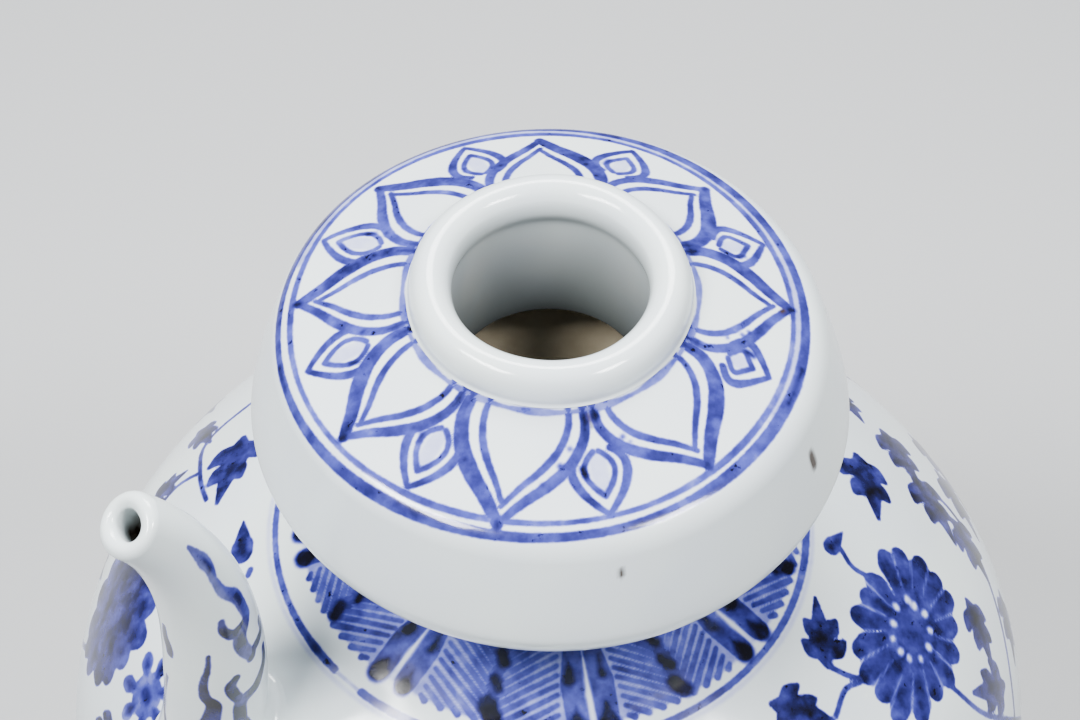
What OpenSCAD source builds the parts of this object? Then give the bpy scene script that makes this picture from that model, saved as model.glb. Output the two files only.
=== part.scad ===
// Porcelain ewer with a globular belly, a bulb-shaped head and a curved spout.
// The vessel is thrown and pressed in sections, which are stuck together with slip:
// foot ring, lower belly, upper belly, neck, head bowl, head cover, mouth ring and
// the two halves of the spout. The axis of the body is Z, the table is z = 0 and
// the spout stands on the -X side. Every section is a shell with its own wall.

/* [Belly] */
// Outer diameter at the widest line
belly_d = 166; // [150:1:190]
// Height of the upper dome, from the widest line to its pole
dome_h = 60; // [50:0.5:70]
// Depth of the lower bowl, from the widest line to its pole
bowl_h = 58; // [52:0.5:70]
// Wall of the belly
belly_wall = 4; // [3:0.1:5]
// Thickness of the turned floor
floor_t = 5; // [4:0.1:7]

/* [Foot ring] */
// Outer diameter where the ring meets the belly
foot_d = 86; // [70:1:100]
// Height of the ring on its outer side
foot_h = 10; // [9:0.1:14]
// Wall of the ring
foot_wall = 5; // [4:0.1:7]
// How far the ring spreads outwards at the table
foot_splay = 1.2; // [0:0.1:3]
// Width and height of the bevels that leave the flat resting band
foot_bevel = 1; // [0.5:0.1:1.6]
// Height of the floor's underside above the table
recess_h = 6.5; // [5:0.1:7]

/* [Neck] */
// Outer diameter where the neck leaves the belly
neck_base_d = 44; // [40:0.5:52]
// Outer diameter at the waist
neck_waist_d = 34; // [30:0.5:40]
// Outer diameter under the head
neck_top_d = 38; // [36:0.5:44]
// Height from the belly's dome to the underside of the head
neck_h = 14; // [8:0.5:20]
// Wall of the neck
neck_wall = 3.5; // [2.5:0.1:4]

/* [Head] */
// Largest outer diameter of the head
head_d = 93; // [88:0.5:105]
// Diameter of the upper edge
rim_d = 82.8; // [76:0.2:86]
// Height from the underside to the largest diameter
head_low_h = 13.5; // [11:0.5:20]
// Height from the largest diameter to the upper edge
head_up_h = 17; // [12:0.5:20]
// Height of the seam between bowl and cover below the upper edge
seam_drop = 3; // [2:0.1:5]
// Wall of the head
head_wall = 3.5; // [2.5:0.1:4.5]
// Rise of the cover from its edge to the foot of the lip
cover_rise = 7; // [4:0.1:12]
// Width of the rounding along the upper edge; it starts at the seam
edge_r = 3.4; // [2:0.1:5]

/* [Mouth] */
// Diameter of the opening and of the throat below it
mouth_d = 29.8; // [24:0.1:34]
// Wall of the throat that hangs inside the head
throat_wall = 3; // [2:0.1:4]
// Depth of the throat below the upper edge of the head
throat_drop = 15; // [8:0.5:18]
// Depth of the soft groove under the lip, inside the mouth
groove = 0.6; // [0.2:0.1:1]
// Outer diameter of the rolled lip
lip_d = 43; // [38:0.1:48]
// Height of the lip above its foot on the cover
lip_h = 4.8; // [4:0.1:8]

/* [Spout] */
// How far the middle of the root lies inside the belly's widest line
root_inset = 19; // [15:0.5:25]
// Inward lean of the spout as it leaves the belly, in degrees
root_lean = 11.5; // [5:0.5:18]
// How far the middle of the tip stands outside the middle of the root
tip_reach = 7; // [2:0.1:10]
// Height of the tip above the head's upper edge
tip_rise = -0.4; // [-8:0.1:6]
// Rise of the spout's direction at the tip, in degrees above level
tip_angle = 53; // [40:1:70]
// Outer diameter of the spout's middle stretch
spout_d = 16.2; // [14:0.1:18]
// Outer diameter at the tip
tip_d = 10.2; // [8.5:0.1:12]
// Diameter of the drinking hole at the tip
tip_bore = 4.2; // [3:0.1:5]
// Diameter of the passage at the root, and of the hole through the belly
root_bore = 9; // [7:0.1:10]
// Extra outer diameter that the root spreads to where it meets the belly
root_flare = 6; // [3:0.1:8]

/* [Hidden] */
$fn = 96;

glaze_white = "#E9ECEA";
glaze_shade = "#DDE3E4";
bare_clay = "#D9CDB9";

belly_r = belly_d / 2;
foot_r = foot_d / 2;
curve_steps = 24;

// Heights of the stack, from the table upwards.
belly_z = foot_h + bowl_h * sqrt(1 - pow(foot_r / belly_r, 2));
neck_z = belly_z + dome_h * sqrt(1 - pow(neck_base_d / 2 / belly_r, 2));
head_z = neck_z + neck_h;
widest_z = head_z + head_low_h;
rim_z = widest_z + head_up_h;
seam_z = rim_z - seam_drop;
lip_z = rim_z + cover_rise;
throat_z = rim_z - throat_drop;

// Points of an ellipse about [cx, cz] with half-axes a and b, from one angle to another.
function arc(cx, cz, a, b, from, to, steps) =
    [for (i = [0:steps]) let (t = from + (to - from) * i / steps) [cx + a * cos(t), cz + b * sin(t)]];

// Angle at which an ellipse with half-width a reaches the radius r.
function angle_at(r, a) = acos(min(1, r / a));

// Angle at which an ellipse with half-height b reaches the height z.
function rise_at(z, b) = asin(max(-1, min(1, z / b)));

function reversed(list) = [for (i = [len(list) - 1:-1:0]) list[i]];

// Outer and inner curves of the belly's two halves, both from the widest line.
dome_in_a = belly_r - belly_wall;
dome_in_b = dome_h - belly_wall;
bowl_in_b = bowl_h - belly_wall;
neck_hole_r = neck_base_d / 2 - neck_wall;
floor_z = recess_h + floor_t;

// ---- foot ring -------------------------------------------------------------------

module foot_ring() {
    inner_r = foot_r - foot_wall;
    rest_r = foot_r + foot_splay;
    seat = arc(0, belly_z, belly_r, bowl_h, -angle_at(foot_r, belly_r), -angle_at(inner_r, belly_r), 4);
    color(bare_clay)
        rotate_extrude()
            polygon(concat(
                [[rest_r - foot_bevel, 0], [rest_r, foot_bevel]],
                seat,
                [[inner_r, foot_bevel], [inner_r + foot_bevel, 0]]));
}

// ---- belly -----------------------------------------------------------------------

module lower_belly() {
    outer = arc(0, belly_z, belly_r, bowl_h, 0, -rise_at(belly_z - recess_h, bowl_h), curve_steps);
    inner = arc(0, belly_z, dome_in_a, bowl_in_b, -rise_at(belly_z - floor_z, bowl_in_b), 0, curve_steps);
    color(glaze_white)
        rotate_extrude()
            polygon(concat(outer, [[0, recess_h], [0, floor_z]], inner));
}

module dome_shell() {
    outer = arc(0, belly_z, belly_r, dome_h, 0, angle_at(neck_hole_r, belly_r), curve_steps);
    inner = arc(0, belly_z, dome_in_a, dome_in_b, angle_at(neck_hole_r, dome_in_a), 0, curve_steps);
    rotate_extrude()
        polygon(concat(outer, inner));
}

module upper_belly() {
    color(glaze_white)
        difference() {
            dome_shell();
            translate([-root_r, 0, root_z])
                rotate([0, root_lean, 0])
                    cylinder(d = root_bore, h = 6 * belly_wall, center = true);
        }
}

// ---- neck ------------------------------------------------------------------------

// Radius of the neck's outside at a share t of its height, narrowest at the waist.
function neck_r(t) =
    let (ends = neck_base_d / 2 + (neck_top_d - neck_base_d) / 2 * t)
    ends - (ends - neck_waist_d / 2) * pow(sin(180 * t), 1.5);

module neck() {
    steps = 12;
    inner_r = neck_base_d / 2 - neck_wall;
    seat = arc(0, belly_z, belly_r, dome_h, angle_at(inner_r, belly_r), angle_at(neck_base_d / 2, belly_r), 4);
    outer = [for (i = [1:steps]) [neck_r(i / steps), neck_z + neck_h * i / steps]];
    inner = [for (i = [steps:-1:1]) [neck_r(i / steps) - neck_wall, neck_z + neck_h * i / steps]];
    color(glaze_white)
        rotate_extrude()
            polygon(concat(seat, outer, inner));
}

// ---- head ------------------------------------------------------------------------

head_r = head_d / 2;
rim_r = rim_d / 2;
seat_r = neck_top_d / 2;
throat_r = mouth_d / 2;
collar_r = throat_r + throat_wall;
lip_r = lip_d / 2;

// Outer radius of the head's wall at the height z above its largest diameter.
function wall_r(z) = head_r - (head_r - rim_r) * pow(z / head_up_h, 1.25);

module head_bowl() {
    steps = 16;
    inner_low = head_low_h - head_wall;
    outer = arc(seat_r, widest_z, head_r - seat_r, head_low_h, -90, 0, steps);
    wall = [for (i = [1:8]) let (z = (head_up_h - seam_drop) * i / 8) [wall_r(z), widest_z + z]];
    inner = arc(seat_r, widest_z, head_r - seat_r - head_wall, inner_low, 0, -90, steps);
    color(glaze_white)
        rotate_extrude()
            polygon(concat(
                [[seat_r - neck_wall, head_z]],
                outer,
                wall,
                [for (p = reversed(wall)) [p[0] - head_wall, p[1]]],
                inner,
                [[seat_r - neck_wall, head_z + head_wall]]));
}

module head_cover() {
    slope = atan2(cover_rise, rim_r - lip_r);
    seam_r = wall_r(head_up_h - seam_drop);
    edge = arc(seam_r - edge_r, seam_z, edge_r, seam_drop, 0, 90 - slope, 6);
    color(glaze_shade)
        rotate_extrude()
            polygon(concat(
                edge,
                [[lip_r, lip_z], [collar_r, lip_z], [collar_r, lip_z - head_wall]],
                [[lip_r, lip_z - head_wall], [seam_r - head_wall, seam_z]]));
}

module mouth_ring() {
    half_w = (lip_r - throat_r) / 2;
    foot_rise = 0.12 * lip_h;
    crown = arc(throat_r + half_w, lip_z + foot_rise, half_w, lip_h - foot_rise, 0, 180, 16);
    color(glaze_white)
        rotate_extrude()
            polygon(concat(
                [[throat_r, throat_z], [collar_r, throat_z], [collar_r, lip_z], [lip_r, lip_z]],
                crown,
                [[throat_r + groove, lip_z - groove], [throat_r, lip_z - 3 * groove]]));
}

// ---- spout -----------------------------------------------------------------------

root_r = belly_r - root_inset;
root_z = belly_z + dome_h * sqrt(1 - pow(root_r / belly_r, 2));
tip_r = root_r + tip_reach;
tip_z = rim_z + tip_rise;
spout_rise = tip_z - root_z;
spout_sides = 14;
spout_steps = 24;
root_depth = 18;

// The centreline is one cubic curve in the XZ plane, from the belly to the tip.
// Its handles follow the lean of the root and the angle of the tip.
path_0 = [-root_r, root_z];
path_1 = path_0 + 0.3 * spout_rise * [sin(root_lean), cos(root_lean)];
path_3 = [-tip_r, tip_z];
path_2 = path_3 - 0.34 * spout_rise * [-cos(tip_angle), sin(tip_angle)];

function path(t) =
    pow(1 - t, 3) * path_0 + 3 * pow(1 - t, 2) * t * path_1 + 3 * (1 - t) * t * t * path_2 + pow(t, 3) * path_3;

function path_way(t) =
    let (d = pow(1 - t, 2) * (path_1 - path_0) + 2 * (1 - t) * t * (path_2 - path_1) + t * t * (path_3 - path_2))
    d / norm(d);

function smooth(t) = let (u = max(0, min(1, t))) u * u * (3 - 2 * u);

// Outer and bore radii along the spout; t is below 0 inside the belly.
function skin_r(t) =
    spout_d / 2 - (spout_d - tip_d) / 2 * smooth((t - 0.3) / 0.75) + root_flare / 2 * smooth((0.22 - t) / 0.5);

function bore_r(t) = root_bore / 2 + (tip_bore - root_bore) / 2 * max(0, min(1, t));

// A station is [centre, direction, outer radius, bore radius].
skirt = [for (i = [0:3]) let (s = root_depth * (1 - i / 4), t = -s / spout_rise)
    [path_0 - s * path_way(0), path_way(0), skin_r(t), bore_r(t)]];
stem = [for (i = [0:spout_steps]) let (t = i / spout_steps) [path(t), path_way(t), skin_r(t), bore_r(t)]];
lip_mid = (tip_d + tip_bore) / 4;
lip_half = (skin_r(1) - bore_r(1)) / 2;
tip_lip = [for (a = [20:15:80])
    [path_3 + lip_half * sin(a) * path_way(1), path_way(1), lip_mid + lip_half * cos(a), lip_mid - lip_half * cos(a)]];
stations = concat(skirt, stem, tip_lip);

// Points of one C-shaped section: the outer half circle and the bore's, on the +Y side.
function section(s) =
    let (n = [-s[1][1], s[1][0]])
    concat(
        [for (i = [0:spout_sides]) let (a = 180 * i / spout_sides)
            [s[0][0] + s[2] * cos(a) * n[0], s[2] * sin(a), s[0][1] + s[2] * cos(a) * n[1]]],
        [for (i = [spout_sides:-1:0]) let (a = 180 * i / spout_sides)
            [s[0][0] + s[3] * cos(a) * n[0], s[3] * sin(a), s[0][1] + s[3] * cos(a) * n[1]]]);

module half_sweep() {
    ring = 2 * (spout_sides + 1);
    last = (len(stations) - 1) * ring;
    walls = [for (k = [0:len(stations) - 2], i = [0:ring - 1]) let (j = (i + 1) % ring)
        [k * ring + i, k * ring + j, (k + 1) * ring + j, (k + 1) * ring + i]];
    ends = [for (i = [0:spout_sides - 1]) each [
        [i, ring - 1 - i, ring - 2 - i, i + 1],
        [last + i, last + i + 1, last + ring - 2 - i, last + ring - 1 - i]]];
    polyhedron([for (s = stations) each section(s)], concat(walls, ends));
}

// The belly's outside as a solid, which trims the root to its seat.
module belly_form() {
    rotate_extrude()
        polygon(concat([[0, belly_z]], arc(0, belly_z, belly_r, dome_h, 0, 90, 2 * curve_steps)));
}

module spout_half() {
    difference() {
        half_sweep();
        belly_form();
    }
}

module spout_left_half() {
    color(glaze_white) spout_half();
}

module spout_right_half() {
    color(glaze_shade) mirror([0, 1, 0]) spout_half();
}

foot_ring();
lower_belly();
upper_belly();
neck();
head_bowl();
head_cover();
mouth_ring();
spout_left_half();
spout_right_half();
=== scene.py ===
# %% [markdown]
# # A blue-and-white porcelain ewer
# The vessel is a kendi-shaped ewer: a round belly on a low foot, a short neck, a bulb-shaped head
# with a rolled mouth, and a curved spout. It has no handle and no lid. It is white porcelain, painted
# with cobalt under one clear glaze. This lesson builds every surface from a formula, lays the painting
# on it stroke by stroke, and lets the shader turn the strokes into pigment under glass.
#
# First the measured model is loaded. It is the frame: every piece made here goes where that model says.

import bpy
import math
import numpy as np
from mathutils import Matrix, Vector


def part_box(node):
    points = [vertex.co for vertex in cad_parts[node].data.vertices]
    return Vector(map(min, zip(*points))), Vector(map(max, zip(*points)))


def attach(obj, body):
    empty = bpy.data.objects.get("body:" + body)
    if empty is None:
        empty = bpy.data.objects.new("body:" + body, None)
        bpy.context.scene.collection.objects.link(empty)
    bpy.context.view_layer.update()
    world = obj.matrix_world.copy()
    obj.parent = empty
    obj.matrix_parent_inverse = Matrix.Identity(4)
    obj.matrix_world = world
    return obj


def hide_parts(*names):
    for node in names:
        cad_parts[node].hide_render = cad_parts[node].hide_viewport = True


MM = 0.001
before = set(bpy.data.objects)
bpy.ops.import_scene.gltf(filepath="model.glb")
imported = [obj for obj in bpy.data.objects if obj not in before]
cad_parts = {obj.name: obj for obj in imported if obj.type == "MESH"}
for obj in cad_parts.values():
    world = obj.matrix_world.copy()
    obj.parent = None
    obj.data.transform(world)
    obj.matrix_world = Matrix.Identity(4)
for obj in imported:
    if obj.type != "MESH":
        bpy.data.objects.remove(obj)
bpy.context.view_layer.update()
print("nodes:", ", ".join(sorted(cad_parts)))


# %% [markdown]
# ## The camera
# A long lens looks down on the mouth from the front left, as one does at a table. The camera comes
# first, because it decides how fine each surface has to be.

# %% Camera
VIEW_FROM = (-0.1558, -0.2465, 0.50875)
VIEW_TO = (-0.001286, 0.000804, 0.15306)
LENS = 100


def aim(thing, target):
    """Turns a camera or lamp so that its -Z axis points at the target and its Y axis stays up."""
    thing.rotation_euler = (Vector(target) - thing.location).to_track_quat("-Z", "Y").to_euler()


camera = bpy.data.objects.new("camera", bpy.data.cameras.new("camera"))
camera.data.lens = LENS
camera.data.sensor_width = 36
camera.location = VIEW_FROM
aim(camera, VIEW_TO)
bpy.context.scene.collection.objects.link(camera)
bpy.context.scene.camera = camera
print("camera to mouth:", round((Vector(VIEW_FROM) - Vector(VIEW_TO)).length, 3), "m")


# %% [markdown]
# ## Floor and light
# A glaze is judged by what it mirrors. A plain pale floor and three large soft lamps give long, quiet
# highlights on the lip, on the edge of the head and on the spout, and the pale sky fills the shadows.

# %% Floor, sky and lamps
FLOOR_SIZE = 3.0
FLOOR_COLOUR = "#B2B4B6"
FLOOR_ROUGHNESS = 0.75
SKY_COLOUR = "#EEF1F3"
SKY_STRENGTH = 0.12
SPREAD = 90
LAMPS = {
    "softbox_left": {"place": (-0.48, 0.02, 0.81), "size": (0.44, 0.18), "watts": 4.0},
    "softbox_right": {"place": (0.21, -0.46, 0.80), "size": (0.26, 0.16), "watts": 2.2},
    "softbox_behind": {"place": (0.26, 0.41, 0.86), "size": (0.50, 0.30), "watts": 4.2},
}


def linear(hex_colour):
    """An sRGB hex colour as linear RGBA: c / 12.92 below 0.04045, ((c + 0.055) / 1.055) ** 2.4 above."""
    c = np.array([int(hex_colour[i : i + 2], 16) for i in (1, 3, 5)]) / 255
    c = np.where(c <= 0.04045, c / 12.92, ((c + 0.055) / 1.055) ** 2.4)
    return (*c.tolist(), 1.0)


world = bpy.data.worlds.new("pale_sky")
world.use_nodes = True
sky = world.node_tree.nodes["Background"]
sky.inputs["Color"].default_value = linear(SKY_COLOUR)
sky.inputs["Strength"].default_value = SKY_STRENGTH
bpy.context.scene.world = world

for name, lamp in LAMPS.items():
    light = bpy.data.objects.new(name, bpy.data.lights.new(name, "AREA"))
    light.data.shape = "RECTANGLE"
    light.data.size, light.data.size_y = lamp["size"]
    light.data.energy = lamp["watts"]
    light.data.spread = math.radians(SPREAD)
    light.location = lamp["place"]
    aim(light, VIEW_TO)
    bpy.context.scene.collection.objects.link(light)

half = FLOOR_SIZE / 2
floor_corners = [(-half, -half, 0), (half, -half, 0), (half, half, 0), (-half, half, 0)]
floor_mesh = bpy.data.meshes.new("floor")
floor_mesh.from_pydata(floor_corners, [], [(0, 1, 2, 3)])
floor = bpy.data.objects.new("floor", floor_mesh)
bpy.context.scene.collection.objects.link(floor)
floor_paint = bpy.data.materials.new("matt_pale_table")
floor_paint.use_nodes = True
floor_shader = floor_paint.node_tree.nodes["Principled BSDF"]
floor_shader.inputs["Base Color"].default_value = linear(FLOOR_COLOUR)
floor_shader.inputs["Roughness"].default_value = FLOOR_ROUGHNESS
floor_mesh.materials.append(floor_paint)
print("lamps:", ", ".join(LAMPS))


# %% [markdown]
# ## Sizes
# All lengths below are millimetres. What the measured model can say is read from its boxes; what it
# can't, such as the curve of the dome, is a named value here.

# %% Sizes from the frame
def measure(node):
    """Largest radius, lowest and highest point of a node, in millimetres."""
    low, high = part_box(node)
    return high.x / MM, low.z / MM, high.z / MM


belly_r, widest_z, _ = measure("upper_belly")
foot_rest_r, _, _ = measure("foot_ring")
head_r, head_z, seam_z = measure("head_bowl")
_, neck_z, _ = measure("neck")
_, _, lip_z = measure("head_cover")
_, throat_z, mouth_z = measure("mouth_ring")

DOME_RISE = 60.0
BOWL_DROP = 58.0
BELLY_WALL = 4.0
FOOT_R = 43.0
FOOT_WALL = 5.0
FOOT_BEVEL = 1.0
RECESS = 6.5
FLOOR_THICK = 5.0
NECK_BASE_R, NECK_WAIST_R, NECK_TOP_R = 22.0, 17.0, 19.0
NECK_WALL = 3.5
HEAD_LOW = 13.5
HEAD_UP = 17.0
RIM_R = 41.4
HEAD_WALL = 3.5
LIP_R = 21.5
THROAT_R = 14.9
COLLAR_R = 17.9
LIP_GROOVE = 0.6
rim_z = head_z + HEAD_LOW + HEAD_UP
bulge_z = head_z + HEAD_LOW
print("belly", round(2 * belly_r, 1), "head", round(2 * head_r, 1), "height", round(mouth_z, 1), "mm")


# %% [markdown]
# ## Meshes from grids
# Thrown pots are profiles carried round an axis, so one function turns a profile into a surface and
# another turns any grid of points into a mesh. A row that has shrunk to a point becomes a pole, and a
# profile that comes back to its start closes the wall, so each piece is a watertight shell.
# Clay never dries perfectly round: the same faint wave runs through all sections, and their joints
# still meet.

# %% Grid and profile helpers
POLE_SIZE = 1e-6
SHARP_ANGLE = 50


def hand_thrown(points):
    """Moves points outwards by 0.2 sin(2a + z/30) + 0.08 sin(5a - z/20) mm, a being the azimuth.

    Within 20 mm of the axis the wave fades away, so the poles stay closed.
    """
    x, y, z = np.moveaxis(points, -1, 0)
    angle = np.arctan2(y, x)
    unevenness = 0.2 * np.sin(2 * angle + z / 30) + 0.08 * np.sin(5 * angle - z / 20)
    unevenness = unevenness * np.minimum(1, np.hypot(x, y) / 20)
    return np.stack([x + unevenness * np.cos(angle), y + unevenness * np.sin(angle), z], -1)


def arc(centre, half_w, half_h, start, stop, steps):
    """Points of an ellipse: centre + (half_w cos t, half_h sin t), t running from start to stop degrees."""
    t = np.radians(np.linspace(start, stop, steps))
    return np.stack([centre[0] + half_w * np.cos(t), centre[1] + half_h * np.sin(t)], 1)


def line(start, stop, steps):
    """Equal steps on a straight line, without its last point."""
    return np.linspace(start, stop, steps, endpoint=False)


def bezier(p0, p1, p2, p3, steps=20):
    """Cubic curve: (1-t)^3 p0 + 3(1-t)^2 t p1 + 3(1-t) t^2 p2 + t^3 p3."""
    t = np.linspace(0, 1, steps)[:, None]
    p0, p1, p2, p3 = map(np.array, (p0, p1, p2, p3))
    return (1 - t) ** 3 * p0 + 3 * (1 - t) ** 2 * t * p1 + 3 * (1 - t) * t**2 * p2 + t**3 * p3


def revolve(profile, columns):
    """Each profile point (r, z) becomes a ring: x = r cos a, y = r sin a, with equal steps of a."""
    a = np.linspace(0, 2 * np.pi, columns, endpoint=False)
    r, z = profile[:, :1], profile[:, 1:]
    return np.stack([r * np.cos(a), r * np.sin(a), z + 0 * a], -1)


def piece(name, grid, node_names, material, layers=None):
    """Joins neighbouring grid points by faces, drops what the poles leave over and seats the piece."""
    rows, columns = grid.shape[:2]
    index = np.arange(rows * columns).reshape(rows, columns)
    pole = np.ptp(grid, axis=1).max(1) < POLE_SIZE
    index[pole] = index[pole][:, :1]
    above = np.roll(index, -1, 0)
    quads = np.stack([index, np.roll(index, -1, 1), np.roll(above, -1, 1), above], -1).reshape(-1, 4)
    quads = quads[(quads[:, 0] != quads[:, 1]) | (quads[:, 2] != quads[:, 3])]
    used, compact = np.unique(quads, return_inverse=True)
    quads = compact.reshape(-1, 4)
    at_start = quads[:, 0] == quads[:, 1]
    at_end = quads[:, 2] == quads[:, 3]
    faces = quads[~at_start & ~at_end].tolist()
    faces += quads[at_start][:, 1:].tolist() + quads[at_end][:, :3].tolist()
    mesh = bpy.data.meshes.new(name)
    mesh.from_pydata((grid.reshape(-1, 3)[used] * MM).tolist(), [], faces)
    for layer, values in (layers or {}).items():
        store = mesh.attributes.new(layer, "FLOAT", "POINT")
        store.data.foreach_set("value", values.reshape(-1)[used].astype(np.float32))
    mesh.shade_smooth()
    mesh.set_sharp_from_angle(angle=math.radians(SHARP_ANGLE))
    mesh.materials.append(material)
    thing = bpy.data.objects.new(name, mesh)
    bpy.context.scene.collection.objects.link(thing)
    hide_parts(*node_names)
    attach(thing, "root")
    print(name, "has", sum(len(f) - 2 for f in faces), "triangles")


print("sharp edges from", SHARP_ANGLE, "degrees")


# %% [markdown]
# ## The brush
# Cobalt is painted on the raw clay with a pointed brush, so every motif here is made of brush strokes:
# a path on the surface and the brush's half-width along it. Each vertex keeps how deep it lies inside
# the nearest stroke, in millimetres, and how strong that stroke's pigment is. Depth changes evenly from
# vertex to vertex, so the shader can find a sharp edge between them.
# Three layers are kept, as a painter works: pale wash, outline, dark accent. A fourth one stays bare, and a
# fifth holds the rust-brown spots that iron grains leave in the glaze, and the painted shade inside the
# spout's bore.

# %% Canvas and brush
PIGMENT_LAYERS = ("wash", "outline", "accent")
LAYERS = PIGMENT_LAYERS + ("bare", "rust_and_bore_shade")
FAR_OUTSIDE = 3.0
FULL_TONE = 0.93
BROWN_FADE = 0.5
POINTS_AT_ONCE = 4000


def new_canvas(grid):
    """A blank surface: depth -3 mm and strength 0 everywhere, on each layer."""
    points = grid.reshape(-1, 3)
    canvas = {"points": points}
    for layer in LAYERS:
        canvas[layer] = np.full(len(points), -FAR_OUTSIDE)
        canvas[layer + "_tone"] = np.zeros(len(points))
    return canvas


def brush(canvases, layer, path, half_width, tone=FULL_TONE):
    """Depth = half-width - distance to the path; a stroke wins where it is deeper than what lies there."""
    path = np.asarray(path, float)
    width = np.broadcast_to(half_width, len(path)).astype(float)
    middle = (path.min(0) + path.max(0)) / 2
    reach = np.linalg.norm(path - middle, axis=1).max() + width.max() + FAR_OUTSIDE
    start, along = path[:-1], path[1:] - path[:-1]
    length = np.maximum((along**2).sum(1), 1e-9)
    for canvas in canvases:
        near = np.flatnonzero(((canvas["points"] - middle) ** 2).sum(1) < reach**2)
        for part in np.array_split(near, len(near) // POINTS_AT_ONCE + 1):
            offset = canvas["points"][part][:, None] - start
            share = np.clip((offset * along).sum(2) / length, 0, 1)
            gap = np.linalg.norm(offset - share[..., None] * along, axis=2)
            depth = (width[:-1] + share * (width[1:] - width[:-1]) - gap).max(1, initial=-FAR_OUTSIDE)
            wins = depth > canvas[layer][part]
            canvas[layer][part[wins]] = depth[wins]
            canvas[layer + "_tone"][part[wins]] = tone


def paint_layers(canvas):
    """What the mesh keeps of a canvas: the depths, the strengths of the pigment, and the rust spots and
    painted bore shade from 0 to 1.
    """
    kept = {layer: canvas[layer] for layer in LAYERS}
    kept["rust_and_bore_shade"] = np.clip(canvas["rust_and_bore_shade"] / BROWN_FADE + 0.5, 0, 1)
    for layer in PIGMENT_LAYERS:
        kept[layer + "_tone"] = canvas[layer + "_tone"]
    return kept


def swell(steps, start, middle, end, peak=0.5):
    """Brush pressure: half-width start, middle and end, with the middle at the share peak of the way."""
    return np.interp(np.linspace(0, 1, steps), [0, peak, 1], [start, middle, end])


def through(points, steps_each=6):
    """A smooth curve through points: between two of them, the Catmull-Rom cubic of their neighbours."""
    p = np.array(points, float)
    p = np.vstack([2 * p[0] - p[1], p, 2 * p[-1] - p[-2]])
    t = np.linspace(0, 1, steps_each, endpoint=False)[:, None, None]
    a, b, c, d = p[:-3], p[1:-2], p[2:-1], p[3:]
    body = 0.5 * (2 * b + (c - a) * t + (2 * a - 5 * b + 4 * c - d) * t**2 + (3 * b - a - 3 * c + d) * t**3)
    return np.vstack([body.transpose(1, 0, 2).reshape(-1, p.shape[1]), p[-2]])


print("layers:", ", ".join(LAYERS))


# %% [markdown]
# ## Porcelain and cobalt
# The body is kaolin porcelain fired at about 1300 degrees: dense, white and a little blue-grey under a
# clear feldspar glaze. The glaze is glassy (IOR 1.5), smooth enough for long highlights, but it never
# lies perfectly flat: it undulates over about a centimetre. Cobalt pigment sinks into it, so strokes
# have slightly blurred edges, run from pale wash to deep indigo, and turn near-black where it was
# heaped. One material does all of it, reading the painted layers and adding the brush's unevenness.

# %% One function for every node
def add(tree, kind, inputs=None, out=0, **settings):
    """Adds one shader node and returns one of its outputs.

    settings are its properties; inputs map a socket to a value or to another node's output.
    """
    node = tree.nodes.new("ShaderNode" + kind)
    for key, value in settings.items():
        setattr(node, key, value)
    for key, value in (inputs or {}).items():
        if isinstance(value, bpy.types.NodeSocket):
            tree.links.new(value, node.inputs[key])
        else:
            node.inputs[key].default_value = value
    return node.outputs[out]


def per_mm(size):
    """Noise scale whose features are about this many millimetres, on coordinates in metres."""
    return 1 / (size * MM)


print("features of 1 mm have the noise scale", per_mm(1))

# %% Cobalt, layer over layer
# Sizes in mm of the grain that frays an edge, of the pigment's flow and of heaped grains.
EDGE_GRAIN, FLOW, HEAPS = 0.9, 3.5, 1.6
# Half the width in mm over which each layer's edge blurs, then how weak and how strong its pigment gets.
LAYER_LOOKS = {"wash": (0.45, 0.75, 1.25), "outline": (0.24, 0.78, 1.3), "accent": (0.70, 0.82, 1.15)}
EDGE_RAGGED = 0.22
BARE_LEFT = 0.10


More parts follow.
